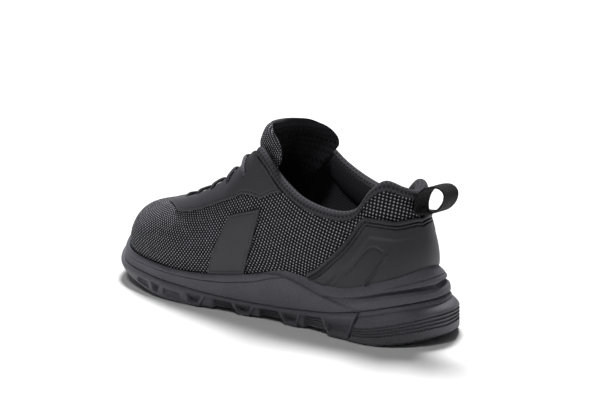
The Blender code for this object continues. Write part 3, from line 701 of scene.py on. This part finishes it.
def outsoleOut(u, h):   # side of the outsole: share of the flange, cut into it and rise from below, in mm
    spot, scale = half(u), outsole["stationLength"]
    fore = tableAt(outsole["fore"], 1, h)
    fine, ribTop, ribLow = (tableAt(outsole["bands"], k, spot) for k in (1, 2, 3))
    heel = np.where(h > fine, 0.69 - 0.11 * (h - fine) / (1 - fine) - 0.03 * step(0.96, 1.0, h), 0.0)
    bulge = np.clip((fine - h) / (fine - ribTop), 0, 1)
    heel = np.where((h <= fine) & (h > ribTop), 0.70 + 0.27 * np.sin(bulge * math.pi / 2) ** 1.2, heel)
    heel = np.where(h <= ribTop, 0.985 - 0.13 * np.clip(1 - h / 0.07, 0, 1) ** 2, heel)
    edges = [(nl + (nh - nl) * h, fl + (fh - fl) * h) for nl, nh, fl, fh in outsole["lugs"]]
    block = (edges[0][0] - spot) * scale   # mm inside the heel block
    mix = step(-0.3, 0.3, block)
    out = fore + (heel - fore) * mix
    cut = outsole["blockSeam"] * bump(block - 0.2, 0.75) * (1 - step(0.78, 0.84, h)) * step(0.08, 0.14, h)
    ribs = (h - ribLow) / (ribTop - ribLow)
    inRibs = step(-0.06, 0.02, ribs) * (1 - step(0.98, 1.06, ribs)) * step(0.6, 1.6, block)
    crest = 1 - step(0.12, 0.42, np.abs((ribs * outsole["ribs"]) % 1.0 - 0.5))
    cut = cut + inRibs * outsole["ribDepth"] * crest
    cut = cut + outsole["fineLine"] * bump(h - fine, 0.022) * mix
    lug, hollow = np.zeros(np.shape(spot)), np.zeros(np.shape(spot))
    for near, far in edges:
        inside = np.minimum(spot - near, far - spot) * scale
        lug = np.maximum(lug, step(-0.25, 0.25, inside))
        deep = step(outsole["frame"], outsole["frame"] + 0.7, inside)
        # hollow over a ledge, shallower towards the top
        ledge = step(0.25, 0.29, h) * np.clip((0.88 - h) / 0.45, 0, 1)
        hollow = np.maximum(hollow, deep * ledge)
    cut = cut + outsole["hollow"] * hollow
    between = (1 - lug) * step(edges[0][1] - 0.01, edges[0][1] + 0.01, spot)
    between = between * (1 - step(edges[3][0] - 0.01, edges[3][0] + 0.01, spot)) * (1 - step(0.76, 0.82, h))
    ribbed = outsole["windowRib"] * (0.5 + 0.5 * np.cos(2 * math.pi * h * outsole["windowRibs"]))
    window = np.zeros(np.shape(spot))
    for low, high, far in outsole["windows"]:
        near = low + (high - low) * h
        inside = np.minimum(spot - near, far - spot) * scale
        window = np.maximum(window, step(-0.25, 0.25, inside))
    deep = window * (1 - step(0.70, 0.75, h))
    cut = cut + deep * (outsole["windowDepth"] - ribbed) + (1 - deep) * between * outsole["facet"]
    for near, far in outsole["recesses"]:   # shut at the foot and the top
        lean = 0.06 * (h - 0.45)
        inside = np.minimum(spot - near - lean, far - lean - spot) * scale
        tall = step(0.24, 0.30, h) * (1 - step(0.62, 0.68, h))
        cut = cut + step(-0.2, 0.4, inside) * tall * (outsole["recessDepth"] - 0.6 * ribbed)
    notch = 0.5 + 0.5 * np.cos(2 * math.pi * spot / outsole["toothPitch"])   # foot of the heel block
    teeth = outsole["tooth"] * step(0.4, 0.6, notch) * step(0.1, 0.3, spot) * (spot < 1.15)
    return out, cut, outsole["channel"] * window + 0.8 * between * (1 - window) + teeth


def tread(x, y, edge):   # grooves of the underside, away from the edge
    wave = np.abs(((x + np.abs(y) * outsole["treadLean"]) / outsole["treadPitch"]) % 1.0 - 0.5)
    groove = 1 - step(0.05, 0.22, wave)
    spine = 1 - step(0.8, 2.8, np.abs(y))
    return np.maximum(groove, spine) * step(7.0, 8.0, edge) * outsole["treadDepth"]


def makeOutsole():
    u = np.linspace(0, turn, outsole["cols"])
    high = partingHeight(u)
    rows = []
    for h in 1 - even(0, 1, outsole["rows"], 0.4):
        out, cut, below = outsoleOut(u, h)
        plan = offsetPlan(u, out * flange(u) - cut)
        floor = ground(plan[:, 0], plan[:, 1]) + below * (1 - 0.5 * h)
        rows.append(np.c_[plan, floor + (high - floor) * h])
    points = np.array(rows)
    around = arcs(points[len(rows) // 2])
    uv = np.stack(np.meshgrid(around, np.arange(len(rows)) * 0.2), -1)
    wall = gridPiece("rubber_outsole", points, uv, (1, 0, 0))
    top, under = capGrid(points[0], outsole["lidRows"]), capGrid(points[-1], outsole["underRows"])
    lid = gridPiece("lid", top, np.zeros(top.shape[:2] + (2,)), (0, 0, 1))
    edge = np.minimum(np.linalg.norm(under - under[:1], axis=-1), np.linalg.norm(under - under[-1:], axis=-1))
    cut = tread(under[..., 0], under[..., 1] - outsole["treadMiddle"], edge)
    cut = cut * (under[..., 2] < 1.5 + ground(under[..., 0], under[..., 1]))
    under[..., 2] += cut
    sole = gridPiece("under", under, np.zeros(under.shape[:2] + (2,)), (0, 0, -1))
    piece = joinPieces("rubber_outsole", [wall, lid, sole])
    weldPiece(piece, welds["caps"])
    dress(piece, "outsole")
    settle(piece, "outsole", 45)


makeOutsole()


# insole with a turned-up edge
insole = {
    "cols": 241, "topRows": 25, "baseRows": 7,
    # inset, height over the bed
    "edge": [(5.8, 0.45), (5.6, 1.5), (5.6, 3.6), (6.0, 4.4), (6.8, 4.7), (8.0, 4.5), (10.0, 4.2)],
}


def makeInsole():
    u = np.linspace(0, turn, insole["cols"])
    rows = []
    for inset, lift in insole["edge"]:
        plan = offsetPlan(u, -inset)
        rows.append(np.c_[plan, bedHeight(plan[:, 0]) + lift])
    points = np.array(rows)
    side = gridPiece("foot_bed", points, points[..., :2], (1, 0, 0.2))
    top = capGrid(points[-1], insole["topRows"])
    bottom = capGrid(points[0], insole["baseRows"])
    lid = gridPiece("lid", top, top[..., :2], (0, 0, 1))
    base = gridPiece("base", bottom, bottom[..., :2], (0, 0, -1))
    piece = joinPieces("foot_bed", [side, lid, base])
    weldPiece(piece, welds["caps"])
    dress(piece, "insole")
    settle(piece, "insole")


makeInsole()


# overlays: raised skins that follow the upper, with rounded borders
overlay = {"round": 1.2, "back": 0.9, "least": 0.4, "tuckLift": 0.75}


def borderWay(points):   # distance in mm of each grid point from the nearest border
    up, side = arcs(points, 0), arcs(points, 1)
    return np.minimum(np.minimum(up, up[-1:] - up), np.minimum(side, side[:, -1:] - side)), up


def rounded(way, reach):
    t = np.clip(way / reach, 0, 1)
    return np.sqrt(np.clip(1 - (1 - t) ** 2, 0, 1))


def raisedSkin(name, u, t, relief, finish, node, hint, tuck=0.0):
    base = upperPoint(u, t)
    way, up = borderWay(base)
    fromTop = up[-1:] - up
    lift = shoe["gap"] + shoe["film"] - 0.8 * (1 - rounded(way, overlay["round"])) + relief(base, way)
    lift = np.maximum(lift, overlay["least"])
    if tuck:   # the lowest row goes down behind the sole's lip
        lift[0] = overlay["tuckLift"]
        base = base.copy()
        base[0, :, 2] -= tuck
    points = base + upperNormal(u, t) * lift[..., None]
    along = np.broadcast_to(arcs(base[-1]), way.shape)
    piece = gridPiece(name, points, np.stack([along, fromTop], -1), hint)
    backWall(piece, overlay["back"])
    dress(piece, finish)
    settle(piece, node)


eyestay = {
    "cols": 641, "rows": 45, "crowd": 0.7, "seamAt": 2.6, "seam": 0.22, "dip": 1.1,
    # station, top drop, low drop
    "border": [(3.56, 4.2, 5.6), (3.64, 4.2, 7.0), (3.81, 4.2, 14.5), (4.01, 4.2, 25.2), (4.15, 4.2, 28.2),
               (4.3, 4.2, 31.2), (4.38, 0.4, 32.4), (4.64, 0.4, 35.1), (4.96, 0.4, 36.7), (5.33, 0.4, 38.2),
               (5.83, 0.4, 41.1), (6.05, 0.4, 41.4), (6.25, 0.4, 39.6), (6.45, 0.4, 34.5), (6.8, 0.4, 29),
               (7.4, 0.4, 25), (8.0, 0.4, 23)],
    # station, drop, station where the cord crosses the edge
    "eyelets": [(4.6, 17.5, 4.95), (5.32, 16.5, 5.55), (5.88, 16.5, 6.1), (6.41, 16.0, 6.62),
                (6.96, 14.5, 7.2)],
}


def makeEyestay():
    end = eyestay["border"][0][0]
    cols = even(end, turn - end, eyestay["cols"])
    top, low = (tableAt(eyestay["border"], k, half(cols)) for k in (1, 2))
    share = even(0, 1, eyestay["rows"], eyestay["crowd"])[:, None]
    t = ribShare(cols, top + (low - top) * share, True)
    holes = [belowTop(s if k == 0 else turn - s, d, 0.0) for s, d, _ in eyestay["eyelets"] for k in (0, 1)]

    def relief(base, way):
        dip = np.zeros(way.shape)
        for hole in holes:
            dip = np.maximum(dip, 1 - step(1.3, 2.0, np.linalg.norm(base - hole, axis=-1)))
        return -eyestay["dip"] * dip - eyestay["seam"] * bump(way - eyestay["seamAt"], 0.35)

    raisedSkin("film_eyestay", cols, t, relief, "film", "eyestay", (1, 0, 1))


makeEyestay()

counter = {
    "cols": 401, "rows": 111, "end": 2.85, "base": 0.2, "tuck": 1.5,
    # station, height over the rim
    "border": [(0, 34), (0.8, 38.5), (1.35, 45), (1.6, 48), (1.75, 46), (2.2, 27), (2.6, 11), (2.85, 3)],
    # lines of the relief in the side view: x, z
    "capsule": [(-84.5, 35.1), (-98.1, 51.2), (-107.0, 63.5), (-109.4, 65.3), (-112.0, 65.8), (-114.8, 65.0),
                (-117.4, 63.3)],
    "ridge": [(-119.6, 60.5), (-119.0, 57.0), (-115.8, 51.8), (-111.8, 45.5), (-107.6, 39.7)],
    "grooves": (3.2, 5.4), "zone": 14.0, "fade": (-134.0, -112.0),
}


def makeCounter():
    cols = even(-counter["end"], counter["end"], counter["cols"])
    high = tableAt(counter["border"], 1, half(cols))
    share = even(0, 1, counter["rows"])[:, None]
    t = ribShare(cols, counter["base"] + (high - counter["base"]) * share, False)

    def relief(base, way):
        x, z = base[..., 0], base[..., 2]
        top = np.full(x.shape, 1e9)
        for k in range(base.shape[1]):
            top = np.minimum(top, np.linalg.norm(base - base[-1, k], axis=-1))
        lift = 0.5 * (1 - step(2.0, 2.8, top))
        for at in counter["grooves"]:
            lift = lift - bump(top - at, 0.5)
        sunk = step(counter["zone"] - 2.4, counter["zone"] + 0.4, top) * step(*counter["fade"], x)
        lift = lift - 0.9 * sunk
        lift = lift - bump(nearLine(x, z, counter["capsule"]), 0.75)
        return lift + 1.2 * bump(nearLine(x, z, counter["ridge"]), 0.9)

    raisedSkin("film_counter", cols, t, relief, "counter", "heel_counter", (-1, 0, 0), counter["tuck"])


makeCounter()


panel = {
    "cols": 71, "rows": 121, "crowd": 0.5, "base": 0.2, "high": 49.0, "slope": 3.0, "tuck": 1.5,
    # share of height, stations of the back and front edges
    "border": [(0.0, 4.12, 4.80), (0.5, 4.00, 4.72), (1.0, 3.96, 4.60)],
    "seamAt": 2.4, "seam": 0.35,
}


def makePanel(name, inner):
    share = even(0, 1, panel["rows"], panel["crowd"])
    back, front = (tableAt(panel["border"], k, share) for k in (1, 2))
    across = even(0, 1, panel["cols"], panel["crowd"])
    u = back[:, None] + (front - back)[:, None] * across[None, :]
    place = turn - u if inner else u
    high = ribShare(place, panel["high"] - panel["slope"] * across, False)
    low = ribShare(place, panel["base"], False)
    t = low + (high - low) * share[:, None]

    def relief(base, way):
        return -panel["seam"] * bump(way - panel["seamAt"], 0.45)

    side = (0, -1 if inner else 1, 0)
    raisedSkin("film_" + name, place, t, relief, "panel", name, side, panel["tuck"])


makePanel("side_panel_outer", False)
makePanel("side_panel_inner", True)


# collar cuff: padded roll over the edge, lined inside
cuff = {
    "end": 4.35, "taper": 1.3, "thin": 0.45, "cols": 301, "rows": 48, "linedFrom": 0.52,
    # lift, drop round the section
    "visible": [(0.55, 2.9), (1.7, 2.8), (2.35, 1.4), (2.2, -1.0), (1.0, -3.0), (-1.6, -3.9), (-4.4, -3.2),
                (-6.6, -0.8), (-7.9, 4.0), (-8.2, 9.0), (-7.2, 15.0), (-5.2, 20.0), (-2.9, 22.3)],
    "hidden": [(-2.86, 14.0), (-2.86, 6.0), (-2.86, -0.4), (0.4, -0.45)],
}


def makeCuff():
    u = np.linspace(-cuff["end"], cuff["end"], cuff["cols"])
    thin = cuff["thin"] + (1 - cuff["thin"]) * step(0, cuff["taper"], cuff["end"] - half(u))
    section = np.vstack([through(cuff["visible"], cuff["rows"]), cuff["hidden"], cuff["visible"][:1]])
    wall = -shoe["wall"] - shoe["gap"]
    rows = []
    for lift, drop in section:
        rows.append(belowTop(u, drop, lift if lift >= wall else wall + (lift - wall) * thin))
    points = np.array(rows)
    down = arcs(section)
    uv = np.stack(np.meshgrid(arcs(points[cuff["rows"] // 3]), down), -1)
    piece = gridPiece("padded_cuff", points, uv, (1, 0, 0.3))
    weldPiece(piece, welds["folds"], fill=True, outside=True)
    dress(piece, "cuff", "lining")
    settle(piece, "collar_cuff", 60)
    lineInside(piece, 1, down[int(cuff["rows"] * cuff["linedFrom"])])


makeCuff()


# tongue: arched padded slab, woven outside and lined inside
tongue = {
    # x, z, half width, wrap, thickness, squareness
    "rows": [(100, 55.0, 12, 1, 3.5, 2.4), (86.6, 58.0, 16, 5.5, 4, 2.4), (63, 66.3, 20, 9.5, 5.5, 2.4),
             (41.4, 79.1, 23, 12.5, 6.5, 2.4), (21.2, 92.8, 24, 15.8, 7, 2.4), (12, 104.5, 25, 23, 8, 3.0),
             (9.2, 112.5, 26.5, 28, 8.5, 4.0), (7.5, 120.5, 30, 33, 8.5, 4.2),
             (6.4, 127.5, 28.5, 29, 7.5, 3.6), (6.0, 131.6, 23.5, 17, 5.5, 3.0), (6.0, 133.6, 13, 5, 3, 2.4)],
    "along": 121, "across": 41,
    "rim": 11.0,   # reach of the painted highlight along the tongue's edge
    "insideAt": 500.0,   # how far the lining lies from the weave in the UV
}


def makeTongue():
    rows = through(tongue["rows"], tongue["along"])
    centre = rows[:, :2]
    run = unit(np.gradient(centre, axis=0))
    down = np.stack([-run[:, 1], run[:, 0]], -1)
    a = np.sin(np.linspace(-1, 1, tongue["across"]) * math.pi / 2)
    shapes = []
    for side in (1, -1):
        turned = a * side
        thick = rows[:, 4:5] / 2 * (np.sqrt(np.clip(1 - np.abs(turned) ** 4, 0, 1)) * 0.95 + 0.05)
        depth = rows[:, 3:4] * np.abs(turned) ** rows[:, 5:6] - side * thick
        y = rows[:, 2:3] * turned
        flat = centre[:, None, :] + down[:, None, :] * depth[..., None]
        shapes.append(np.stack([flat[..., 0], y, flat[..., 1]], -1))
    points = np.concatenate([shapes[0], shapes[1], shapes[0][:, :1]], axis=1)
    around, middle = arcs(points, 1), tongue["across"] // 2
    around -= around[:, middle:middle + 1]
    side = np.where(np.arange(points.shape[1]) < tongue["across"], 0.0, tongue["insideAt"])
    uv = np.stack(np.broadcast_arrays(around + side, arcs(centre)[:, None]), -1)
    piece = gridPiece("padded_tongue", points, uv, (1, 0, 0.3))
    weldPiece(piece, welds["folds"], fill=True, outside=True)
    dress(piece, "tongueMesh", "tongueLining")
    settle(piece, "tongue", 60)
    lineInside(piece, 0, tongue["insideAt"] * 0.4)
    # share of the painted highlight at each point, falling off with distance from the tongue's edge
    border = np.concatenate([shapes[0][:, 0], shapes[0][:, -1], shapes[0][-1]]) + np.array(shoe["place"])
    spots = np.array([corner.co for corner in piece.data.vertices]) / mm
    near = np.array([np.linalg.norm(border - spot, axis=1).min() for spot in spots])
    rim = piece.data.attributes.new("rim", "FLOAT", "POINT")
    rim.data.foreach_set("value", np.clip(1 - near / tongue["rim"], 0, 1))


makeTongue()


# pull loop: ribbon folded on itself at the heel
loop = {
    "path": [(-129.0, 88.6), (-128.6, 92.5), (-129.2, 96.5), (-131.2, 101.5), (-135.5, 106.2),
             (-142.0, 109.0), (-149.5, 109.8), (-154.4, 106.5), (-153.5, 100.0), (-147.5, 93.5),
             (-139.5, 90.0), (-130.9, 88.6)],
    "width": 15.0, "thick": 1.2, "along": 161, "across": 25, "selvedge": 0.12,
}


def makeLoop():
    line = through(loop["path"], loop["along"])
    run = unit(np.gradient(line, axis=0))
    side = np.stack([-run[:, 1], run[:, 0]], -1)
    across = np.linspace(-0.5, 0.5, loop["across"])
    points = np.empty((loop["across"], loop["along"], 3))
    for k, share in enumerate(across):
        lip = loop["selvedge"] * bump(abs(share) - 0.45, 0.04)
        points[k, :, 0::2] = line + side * (loop["thick"] / 2 + lip)
        points[k, :, 1] = share * loop["width"]
    uv = np.stack(np.meshgrid(across * loop["width"], arcs(line), indexing="ij"), -1)
    middle = side[loop["along"] // 2]
    piece = gridPiece("webbing_loop", points, uv, (middle[0], 0, middle[1]))
    backWall(piece, loop["thick"])
    dress(piece, "webbing")
    settle(piece, "pull_loop")


makeLoop()


# lace: cords that cross over the throat and dive into the eyelets
lace = {
    "radius": 1.45, "flat": 0.85, "sides": 14, "along": 121, "clear": -0.1, "arch": 2.7, "over": 1.1,
    "upright": (0.6, 0.0, 0.8), "frontBar": (4, 4, 0.0),
}


def makeLace():
    lift = shoe["gap"] + shoe["film"] + lace["radius"] + lace["clear"]
    strands = []
    # eyelet numbers outside and inside, lift where two strands cross
    pairs = [lace["frontBar"]] + [(k + a, k + 1 - a, lace["over"] * (1 if (k + a) % 2 else -1))
                                  for k in range(4) for a in (0, 1)]
    for outer, inner, over in pairs:
        ends = []
        for number, turned in ((outer, False), (inner, True)):
            station, drop, edge = eyestay["eyelets"][number]
            spots = [(station, drop + 0.7, -0.5), (station, drop + 0.1, lift - 1.2)]
            spots += [(station + (edge - station) * s, drop * (1 - s), lift) for s in (0.2, 0.5, 0.8)]
            dive = ((0.5, lift - 0.15), (-1.0, lift - 0.9), (-1.9, 0.9), (-2.3, -0.6))
            spots += [(edge, d, h) for d, h in dive]
            ends.append([belowTop(turn - s if turned else s, d, h) for s, d, h in spots])
        a, b = ends[0][-1], ends[1][-1]
        crown = []
        for s in (0.3, 0.5, 0.7):
            push = np.array([lace["arch"], 0, lace["arch"] * 0.6]) * 4 * s * (1 - s)
            push = push + np.array(lace["upright"]) * over * bump(s - 0.5, 0.2)
            crown.append(a + (b - a) * s + push)
        path = through(ends[0] + crown + ends[1][::-1], lace["along"])
        run = unit(np.gradient(path, axis=0))
        side = unit(np.cross(run, [0.6, 0.05, 0.8]))   # leans a little, so that no strand runs along it
        top = lace["flat"] * np.cross(side, run)
        angles = np.linspace(0, 2 * math.pi, lace["sides"] + 1)
        points = np.array([path + lace["radius"] * (math.cos(w) * side + math.sin(w) * top) for w in angles])
        uv = np.stack(np.meshgrid(angles * lace["radius"], arcs(path), indexing="ij"), -1)
        middle = lace["along"] // 2
        face = points[lace["sides"] // 2, middle] - path[middle]
        strand = gridPiece("strand", points, uv, face)
        weldPiece(strand, welds["folds"], fill=True, outside=True)
        strands.append(strand)
    piece = joinPieces("lace_cords", strands)
    dress(piece, "lace")
    settle(piece, "lace", 60)


makeLace()


# floor, light and camera
stage = {
    "floor": 6.0, "azimuth": 223.2, "elevation": 14.115, "distance": 1.6,
    "target": (-14.614, 0.0, 77.246), "focal": 2218.8, "frameWidth": 600.0, "sensor": 36.0,
    "floorDark": (0.88, 0.88, 0.88), "floorLight": (0.90, 0.90, 0.90), "sky": 0.065,
    # name, place in metres, aim, size, power
    "lamps": (("top", (0.95, -1.20, 2.70), (0.0, 0.0, 0.0), 0.9, 130.0),
              ("fill", (0.0, 1.05, 2.30), (0.0, 0.0, 0.06), 0.5, 13.0)),
}


def makeStage():
    bpy.ops.mesh.primitive_plane_add(size=stage["floor"], location=(0, 0, -0.0002))
    floor = bpy.context.object
    floor.name = "floor"
    bpy.ops.object.transform_apply(location=True)
    made, shader, net = newFinish("pale_floor", 0.0, 0.1)
    shade = net.noise(3.0, 2.0).blend(stage["floorDark"], stage["floorLight"])
    made.node_tree.links.new(shade.socket, shader.inputs["Base Color"])
    shader.inputs["Roughness"].default_value = 0.9
    floor.data.materials.append(made)

    world = bpy.data.worlds.new("studio")
    bpy.context.scene.world = world
    world.use_nodes = True
    sky = world.node_tree.nodes["Background"]
    sky.inputs["Color"].default_value = (1, 1, 1, 1)
    sky.inputs["Strength"].default_value = stage["sky"]

    for name, place, aim, size, power in stage["lamps"]:
        bpy.ops.object.light_add(type="AREA", location=place)
        lamp = bpy.context.object
        lamp.name = name
        lamp.data.size = size
        lamp.data.energy = power
        lamp.rotation_euler = (Vector(aim) - Vector(place)).to_track_quat("-Z", "Y").to_euler()

    a, e = math.radians(stage["azimuth"]), math.radians(stage["elevation"])
    target = Vector(np.array(stage["target"]) + np.array(shoe["place"])) * mm
    away = Vector((math.sin(a) * math.cos(e), -math.cos(a) * math.cos(e), math.sin(e)))
    bpy.ops.object.camera_add(location=target + away * stage["distance"])
    camera = bpy.context.object
    camera.name = "camera"
    camera.rotation_euler = (-away).to_track_quat("-Z", "Y").to_euler()
    camera.data.sensor_width = stage["sensor"]
    camera.data.lens = stage["focal"] / stage["frameWidth"] * stage["sensor"]
    camera.data.clip_end = 50.0
    bpy.context.scene.camera = camera
    bpy.context.scene.view_settings.view_transform = "Standard"


makeStage()
print("stage ready")
